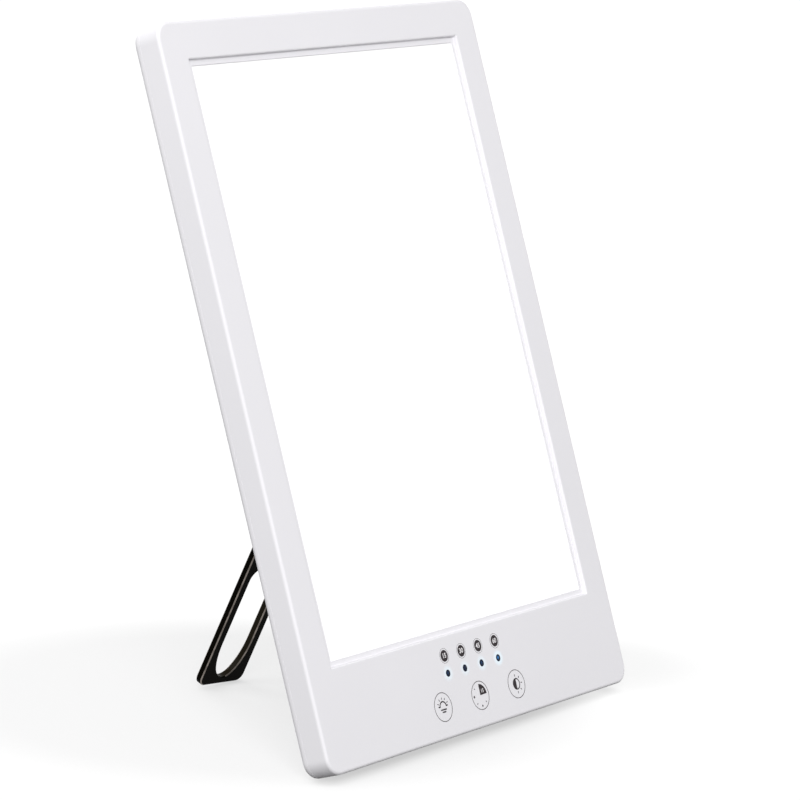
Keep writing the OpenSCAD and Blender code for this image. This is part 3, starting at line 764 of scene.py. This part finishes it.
def lens_template():
    """Light pipe along y with a low dome on its front end and a flange inside the wall."""
    dome = 0.22 * MM
    flange_r = LENS_R + 0.7 * MM
    back_y = span("indicator_lenses", LAMP)[1].y
    section = [(LENS_R * math.sin(math.radians(a)), -dome * math.cos(math.radians(a)))
               for a in (8, 25, 42, 58, 72, 84, 90)]
    flange_y0 = FACE_WALL + 0.02 * MM
    flange_y1 = FACE_WALL + 0.8 * MM
    section += [(LENS_R, FACE_WALL), (flange_r, flange_y0), (flange_r, flange_y1),
                (LENS_R, flange_y1 + 0.02 * MM), (LENS_R, back_y)]
    return Shape().loft([circle(0, 0, r, y, 8) for r, y in section]).piece("lens", HERE)


def lenses(material):
    made = copies("indicator_domes", lens_template(), [(p.x, 0, p.z) for p in LENSES], material)
    return outfit(made, "case", ["indicator_lenses"])


INK_Y = 0.02 * MM        # how deep the print is keyed into the face
INK_PROUD = 0.015 * MM   # how far it stands out
FINE = 0.38 * MM         # width of a mark's rays and ticks


def clock(x, z, radius, degrees):
    """Point at a clock angle, from the top and turning right, about a middle."""
    angle = math.radians(degrees)
    return x + radius * math.sin(angle), z + radius * math.cos(angle)


class Print(Shape):
    """Flat print on the front face."""

    def __init__(self):
        super().__init__()
        self.y0 = -INK_PROUD
        self.y1 = INK_Y

    def ring(self, x, z, radius, line, steps):
        section = ((radius, self.y0), (radius, self.y1), (radius - line, self.y1), (radius - line, self.y0))
        self.loft([circle(x, z, r, y, steps) for r, y in section], ring=True)

    def disc(self, x, z, radius):
        self.loft([circle(x, z, radius, y) for y in (self.y0, self.y1)])

    def sector(self, x, z, inner, outer, start, stop, steps=16):
        """Band between two radii from one clock angle to another."""
        angles = [start + (stop - start) * i / steps for i in range(steps + 1)]
        outline = [clock(x, z, outer, a) for a in angles]
        outline += [clock(x, z, inner, a) for a in reversed(angles)] if inner > 0 else [(x, z)]
        self.prism(outline, self.y0, self.y1)

    def bar(self, x, z, length, width, degrees=90):
        """Bar with round ends, along a clock angle."""
        loops = []
        turn = Matrix.Rotation(math.radians(degrees), 4, "Y")
        for y in (self.y0, self.y1):
            loop = rounded(width / 2, -length / 2, length / 2, width / 2 * 0.98, y, 0, 4)
            loops.append([turn @ p + Vector((x, 0, z)) for p in loop])
        self.loft(loops)


def key_rings(material):
    """A thin ring round each touch key."""
    line = 0.32 * MM
    made = Print()
    for spot in KEYS:
        made.ring(spot.x, spot.z, KEY_R + 0.1 * MM, line, 24)
    return outfit(made.piece("key_rings", LAMP, material), "case")


def rays(name, middle, radius, first, step, count, material):
    """Short rays round a middle, from one clock angle on."""
    points = [clock(middle.x, middle.z, radius, first + step * i) for i in range(count)]
    ray = Print()
    ray.bar(0, 0, 1.05 * MM, FINE, 0)
    template = ray.piece("ray", HERE)
    template.data.transform(Matrix.Rotation(math.radians(first), 4, "Y"))
    made = copies(name, template, [(x, 0, z) for x, z in points], material, math.radians(step))
    return outfit(made, "case")


def dawn_mark(material):
    """Left key: a rising sun over two lines."""
    middle = KEYS[0]
    x, z = middle.x, middle.z + 0.05 * MM
    line = 0.6 * MM
    arch_r = 2.5 * MM
    made = Print()
    made.sector(x, z, arch_r - line, arch_r, -90, 90)
    for side in (-1, 1):
        made.bar(x + side * 2.7 * MM, z + line / 2, 1.3 * MM, line)
    for drop, length in ((1.1, 4.2), (2.1, 2.7)):
        made.bar(x, z - drop * MM, length * MM, line)
    outfit(made.piece("dawn_mark", LAMP, material), "case")
    rays("dawn_rays", Vector((x, 0, z)), 3.5 * MM, -64, 32, 5, material)


def timer_mark(material, figure):
    """Middle key: a clock face with its first quarter filled."""
    middle = KEYS[1]
    x, z = middle.x, middle.z
    made = Print()
    made.sector(x, z, 0, 4.7 * MM, 2, 88)
    tick_r = 4.4 * MM
    for degrees, radius in ((180, 0.45), (270, 0.5)):
        made.disc(*clock(x, z, tick_r, degrees), radius * MM)
    for degrees in (135, 225, 315):
        made.bar(*clock(x, z, tick_r, degrees), 0.85 * MM, FINE, degrees)
    outfit(made.piece("timer_mark", LAMP, material), "case")
    figures("timer_figure", "15", x + 1.95 * MM, z + 1.65 * MM, 2.1 * MM, figure)


def dimmer_mark(material):
    """Right key: a sun with one dark half."""
    middle = KEYS[2]
    x, z = middle.x, middle.z
    made = Print()
    sun_r = 2.5 * MM
    made.sector(x, z, 0, sun_r, 180, 360, 24)
    made.sector(x, z, sun_r - 0.5 * MM, sun_r, 0, 180, 24)
    outfit(made.piece("dimmer_mark", LAMP, material), "case")
    rays("dimmer_rays", middle, 3.6 * MM, 0, 45, 5, material)


def figures(name, words, x, z, height, material):
    """Plain figures as a thin solid, centred on a point of the face."""
    proud = 2 * INK_PROUD
    boldness = 0.02
    curve = bpy.data.curves.new(name, "FONT")
    curve.body = words
    curve.size = height
    curve.align_x = "CENTER"
    curve.align_y = "CENTER"
    curve.extrude = proud / 2
    curve.offset = height * boldness
    curve.resolution_u = 4
    text = bpy.data.objects.new(name + "_text", curve)
    bpy.context.scene.collection.objects.link(text)
    bpy.context.view_layer.update()
    mesh = bpy.data.meshes.new_from_object(text.evaluated_get(bpy.context.evaluated_depsgraph_get()))
    bpy.data.objects.remove(text)
    mesh.transform(LAMP @ Matrix.Translation((x, -proud / 2, z)) @ Matrix.Rotation(math.pi / 2, 4, "X"))
    mesh.name = name
    piece = bpy.data.objects.new(name, mesh)
    bpy.context.scene.collection.objects.link(piece)
    assign(piece, material)
    return outfit(piece, "case")


def timer_labels(material, line_material, figure):
    """Four discs above the lenses, each with a fine ring and its minutes."""
    rise = 7.3 * MM
    disc_r = 2.45 * MM
    ring_r = 3.15 * MM
    made = Print()
    fine = Print()
    for spot, minutes in zip(LENSES, ("15", "30", "45", "60")):
        made.disc(spot.x, spot.z + rise, disc_r)
        fine.ring(spot.x, spot.z + rise, ring_r, 0.15 * MM, 16)
        figures("minutes_" + minutes, minutes, spot.x, spot.z + rise, 2.8 * MM, figure)
    outfit(made.piece("timer_discs", LAMP, material), "case")
    outfit(fine.piece("timer_rings", LAMP, line_material), "case")


# ------------------------------------------------------------------ leg and swivel

def leg_piece(face, edge, wall):
    """Slotted leg: rounded foot, arched slot, chamfered edges and a knuckle at its top."""
    leg_lo, leg_hi = span("leg", LEG)
    half_w = leg_hi.x
    foot_z = leg_lo.z
    top_z = leg_hi.z
    half_t = 1.6 * MM
    foot_r = 4 * MM
    top_r = 1 * MM
    bar_w = 4.6 * MM
    sole = 3.2 * MM
    slot_len = 56.1 * MM
    slot_arch = 18 * MM
    slot_crown = 6.5 * MM
    chamfer = 0.45 * MM
    slot_r = half_w - bar_w

    def outer(inset, depth):
        return arcs([(half_w - top_r, top_z - top_r, top_r - inset, top_r - inset),
                     (top_r - half_w, top_z - top_r, top_r - inset, top_r - inset),
                     (foot_r - half_w, foot_z + foot_r, foot_r - inset, foot_r - inset),
                     (half_w - foot_r, foot_z + foot_r, foot_r - inset, foot_r - inset)], depth, 16)

    def slot(grow, depth):
        crown = (0, foot_z + sole + slot_len - slot_crown, slot_r + grow, slot_crown + grow)
        arch = (0, foot_z + sole + slot_arch, slot_r + grow, slot_arch + grow)
        return arcs([crown, crown, arch, arch], depth, 16)

    loops = [slot(0, chamfer - half_t), slot(chamfer, -half_t), outer(chamfer, -half_t),
             outer(0, chamfer - half_t), outer(0, half_t - chamfer), outer(chamfer, half_t),
             slot(chamfer, half_t), slot(0, half_t - chamfer)]
    finishes = [1, 0, 1, 0, 1, 0, 1, 2]
    made = Shape().loft(loops, ring=True, finish=finishes).piece("slotted_leg", HERE, face, edge, wall)
    # Only the chamfers that face left keep the bright metal, as a painted highlight on the side the light
    # comes from
    for polygon in made.data.polygons:
        if polygon.material_index == 1 and polygon.normal.x > -0.2:
            polygon.material_index = 0
    knuckle_r = -leg_lo.y
    bevel = 0.4 * MM
    section = [(-half_w, knuckle_r - bevel), (bevel - half_w, knuckle_r), (half_w - bevel, knuckle_r),
               (half_w, knuckle_r - bevel)]
    combine(made, Shape().loft(turned(section, steps=16)).piece("knuckle", HERE, face), "UNION")
    bore_r = 1.55 * MM
    bore = turned([(-2 * half_w, bore_r), (2 * half_w, bore_r)])
    combine(made, Shape().loft(bore).piece("bore", HERE, face))
    made.data.transform(LEG)
    combine(made, heel_cut())
    return outfit(made, "leg", ["leg"])


def heel_cut():
    """Block that cuts the leg's heel square to the round base it rests on."""
    base_y = BASE_Y + BASE_T
    reach = 40 * MM
    square = ((reach, reach), (-reach, reach), (-reach, -reach), (reach, -reach))
    return Shape().prism(square, base_y - reach, base_y + 0.1 * MM).piece("heel_cut", SWIVEL)


def ear_outline(inset):
    """Ear of the hinge in (y, z) of the swivel's frame: round top, wide foot."""
    ear_r = 5 * MM - inset
    foot_y0 = 3 * MM
    foot_y1 = 4 * MM
    half_foot = 8.5 * MM - inset
    points = [(foot_y0, HINGE.z - half_foot), (foot_y1, HINGE.z - half_foot)]
    for step in range(17):
        angle = math.radians(-75 + 150 * step / 16)
        points.append((HINGE.y + ear_r * math.cos(angle), HINGE.z + ear_r * math.sin(angle)))
    points += [(foot_y1, HINGE.z + half_foot), (foot_y0, HINGE.z + half_foot)]
    return points


def swivel_piece(material):
    """Round base with its hub, and two ears with rounded edges that carry the hinge pin."""
    base_lo, base_hi = span("swivel_base", SWIVEL)
    base_r = base_hi.x
    hub_y = base_lo.y
    top_y = BASE_Y + BASE_T
    bevel = 0.3 * MM
    edge = 1.6 * MM
    groove_r = base_r - 5.6 * MM
    groove_w = 0.4 * MM
    groove_depth = 0.3 * MM
    section = [(2 * MM, hub_y), (HUB_R - bevel, hub_y), (HUB_R, hub_y + bevel), (HUB_R, BASE_Y),
               (base_r, BASE_Y), (base_r, top_y - edge)]
    for step in range(1, 7):
        angle = math.radians(90 * step / 6)
        section.append((base_r - edge * (1 - math.cos(angle)), top_y - edge * (1 - math.sin(angle))))
    section.append((base_r - edge - 0.3 * MM, top_y))
    section.append((base_r - 5 * MM, top_y))
    for step in range(5):
        angle = math.radians(45 * step)
        section.append((groove_r - groove_w * step / 4, top_y - groove_depth * math.sin(angle)))
    section.append((0.5 * MM, top_y))
    made = Shape().loft([circle(0, 0, r, y, 24) for r, y in section]).piece("turning_base", HERE, material)
    ear_x1 = 19.2 * MM
    ear_t = 4 * MM
    soft = 0.7 * MM
    for side in (-1, 1):
        rows = []
        for x, inset in ((0, 0), (ear_t - soft, 0), (ear_t - soft * 0.3, soft * 0.3), (ear_t, soft)):
            rows.append([Vector((side * (ear_x1 - ear_t + x), y, z)) for y, z in ear_outline(inset)])
        combine(made, Shape().loft(rows).piece("ear", HERE, material), "UNION")
    bore_r = 1.52 * MM
    reach = 30 * MM
    bore = turned([(-reach, bore_r), (reach, bore_r)], HINGE.y, HINGE.z)
    combine(made, Shape().loft(bore).piece("bore", HERE, material))
    made.data.transform(SWIVEL)
    return outfit(made, "swivel", ["swivel_base"])


# ------------------------------------------------------------------ stage

SHADOW = 0.38              # how much of the floor's look near the lamp is its shading; the rest glows
FLOOR_TONES = (0.1, 0.7)   # as a reflector of light, and as seen
# The floor's glow is dimmed near where things touch it, by ambient occlusion: a painted contact shadow
CONTACT_SHADE = 6.5 * MM         # how far the dark line reaches where something touches the floor
GLOWS = (0.88, 1.06)       # of the floor in a contact, and in the open
SKY = 0.5                  # strength of the world as a light; as seen it is 1

# Where the floor shows its shading: (middle, radius that has it all, radius where it ends)
SHADED = ((Vector((-0.02, 0.04, 0)), 0.11, 0.175), (Vector((0.14, -0.03, 0)), 0.02, 0.075))

# Lamps: place, the point they face, the side of their square, radiance
LIGHTS = {
    "key": ((-2.25, -1.9, 1.6), (0, 0, 0.15), 1.5, 11.7),
    "top": ((0.1, -0.5, 0.56), (0, 0.08, 0.27), 0.2, 3.0),
    "back": ((0.9, 2.1, 1.2), (0, 0, 0.15), 1.4, 3.2),
    "rim": ((-1.0, 1.0, 1.55), (0, 0, 0.15), 1.2, 1.8),
}


def floor():
    """White floor that keeps the lamp's soft shadow."""
    half = 4.0
    mesh = bpy.data.meshes.new("floor")
    corners = [(-half, -half, 0), (half, -half, 0), (half, half, 0), (-half, half, 0)]
    mesh.from_pydata(corners, [], [(0, 1, 2, 3)])
    made = bpy.data.objects.new("floor", mesh)
    bpy.context.scene.collection.objects.link(made)
    material, g = new_material("floor_white")
    seen = g.seen()
    tone = g.blend(seen, *(rgb(t, t, t) for t in FLOOR_TONES))
    lit = g.node("ShaderNodeBsdfDiffuse", None, {"Color": tone})["BSDF"]
    # Painted contact shadow: the glow's strength falls where ambient occlusion finds something close above
    # the floor
    near = g.node("ShaderNodeAmbientOcclusion", {"samples": 8}, {"Distance": CONTACT_SHADE})["AO"]
    glow = g.node("ShaderNodeEmission", None, {"Strength": g.ramp(near, 0.15, 0.85, *GLOWS)})["Emission"]
    fades = [g.ramp(g.distance(middle), inner, outer, 1 - SHADOW, 1.0) for middle, inner, outer in SHADED]
    share = g.math("MINIMUM", *fades) * seen
    shader = g.node("ShaderNodeMixShader", None, {0: share, 1: lit, 2: glow})["Shader"]
    g.node("ShaderNodeOutputMaterial", None, {"Surface": shader})
    assign(made, material)


def world():
    """White all round for the eye and for reflections, softer as a light."""
    made = bpy.data.worlds.new("white_studio")
    bpy.context.scene.world = made
    made.use_nodes = True
    g = Graph(made.node_tree)
    strength = g.ramp(g.seen(), 0.0, 1.0, SKY, 1.0)
    sky = g.node("ShaderNodeBackground", None, {"Color": rgb(1, 1, 1), "Strength": strength})["Background"]
    g.node("ShaderNodeOutputWorld", None, {"Surface": sky})


def soft_box(name, place, target, side, radiance):
    """Square lamp that faces a point; its power follows from its size and radiance."""
    data = bpy.data.lights.new(name, "AREA")
    data.shape = "RECTANGLE"
    data.size = side
    data.size_y = side
    data.energy = radiance * math.pi * side * side
    made = bpy.data.objects.new(name, data)
    bpy.context.scene.collection.objects.link(made)
    made.location = place
    made.rotation_euler = (Vector(target) - Vector(place)).to_track_quat("-Z", "Y").to_euler()


def camera():
    """The photograph's view, as found from the case's edges and marks."""
    data = bpy.data.cameras.new("camera")
    data.lens = 184.13
    data.sensor_width = 36
    data.shift_x = 0.000323
    data.shift_y = -0.0027
    data.clip_start = 0.1
    data.clip_end = 50
    made = bpy.data.objects.new("camera", data)
    bpy.context.scene.collection.objects.link(made)
    place = Vector((-1368.316, -1000.030, 111.001)) * MM
    turn = Euler([math.radians(a) for a in (91.0298, 13.1814, -53.4544)], "XYZ")
    made.matrix_world = LAMP @ Matrix.Translation(place) @ turn.to_matrix().to_4x4()
    bpy.context.scene.camera = made


# ------------------------------------------------------------------ the lamp

camera()
floor()
world()
for name, values in LIGHTS.items():
    soft_box(name, *values)

bpy.context.scene.view_settings.view_transform = "Standard"

white = housing()
black = moulded("base_black", rgb(0.014, 0.012, 0.011), 0.36, 0.3 * MM, 0.006 * MM, 0.08)
print_dark = ink("print_dark", rgb(0.024, 0.018, 0.021))
print_line = ink("print_line", rgb(0.085, 0.077, 0.081))
print_white = ink("print_white", rgb(0.86, 0.84, 0.86))
rubber = moulded("rubber_grey", rgb(0.25, 0.25, 0.26), 0.7, 0.25 * MM, 0.01 * MM, 0.05)
steel = rolled("zinc_steel", rgb(0.55, 0.55, 0.57))

front_shell(housing_front())
back_shell(white)
foot_pads(rubber)
case_screws(steel)
lenses(lens_blue())
key_rings(print_line)
dawn_mark(print_dark)
timer_mark(print_dark, print_white)
dimmer_mark(print_dark)
timer_labels(print_dark, print_line, print_white)
# The slot's walls get a lighter, browner copy of the enamel than the faces: a painted warm reflection
leg_piece(enamel("leg_enamel", rgb(0.0026, 0.0019, 0.0008), 0.012), highlight_edge(),
          enamel("slot_enamel", rgb(0.011, 0.0078, 0.0026), 0.05))
swivel_piece(black)

FINISHES = {
    "diffuser_panel": lit_panel(),
    "prism_film": clear_sheet("prism_film", rgb(0.85, 0.87, 0.9), 0.15),
    "light_guide": clear_sheet("light_guide", rgb(0.9, 0.93, 0.95), 0.05),
    "reflector_sheet": moulded("reflector_white", rgb(0.92, 0.92, 0.92), 0.6, 0.8 * MM),
    "back_plate": rolled("plate_aluminium", rgb(0.7, 0.7, 0.72), 0.38),
    "led_strip_left": moulded("strip_white", rgb(0.85, 0.85, 0.83), 0.45),
    "led_chips": moulded("phosphor", rgb(0.85, 0.72, 0.2), 0.5),
    "control_board": circuit(),
    "controller_chip": moulded("epoxy_black", rgb(0.03, 0.03, 0.035), 0.5),
    "driver_coils": moulded("ferrite", rgb(0.06, 0.058, 0.055), 0.6),
    "capacitors": moulded("ceramic", rgb(0.45, 0.33, 0.2), 0.4),
    "touch_pads": moulded("foam_dark", rgb(0.05, 0.05, 0.05), 0.85, 0.6 * MM, 0.08 * MM),
    "indicator_leds": moulded("led_clear", rgb(0.1, 0.3, 0.7), 0.15),
    "dc_jack": moulded("jack_black", rgb(0.02, 0.018, 0.016), 0.38),
    "jack_pin": rolled("plated_brass", rgb(0.75, 0.72, 0.65), 0.2, (30, 1, 1)),
    "jack_leads": moulded("lead_red", rgb(0.45, 0.03, 0.02), 0.4),
    "led_leads": moulded("lead_white", rgb(0.8, 0.8, 0.78), 0.4),
    "glide_ring": moulded("nylon_natural", rgb(0.8, 0.8, 0.76), 0.35),
}
FINISHES["led_strip_right"] = FINISHES["led_strip_left"]
for name in ("plate_screws", "board_screws", "wave_washer", "keeper_washer", "swivel_screw",
             "hinge_pin", "pin_clip", "hinge_washers"):
    FINISHES[name] = steel
for name, material in FINISHES.items():
    assign(NODES[name], material)
# The nodes that a piece above stands for
for name in ("front_bezel", "rear_cover", "foot_pads", "case_screws", "indicator_lenses", "leg",
             "swivel_base"):
    assign(NODES[name], white)
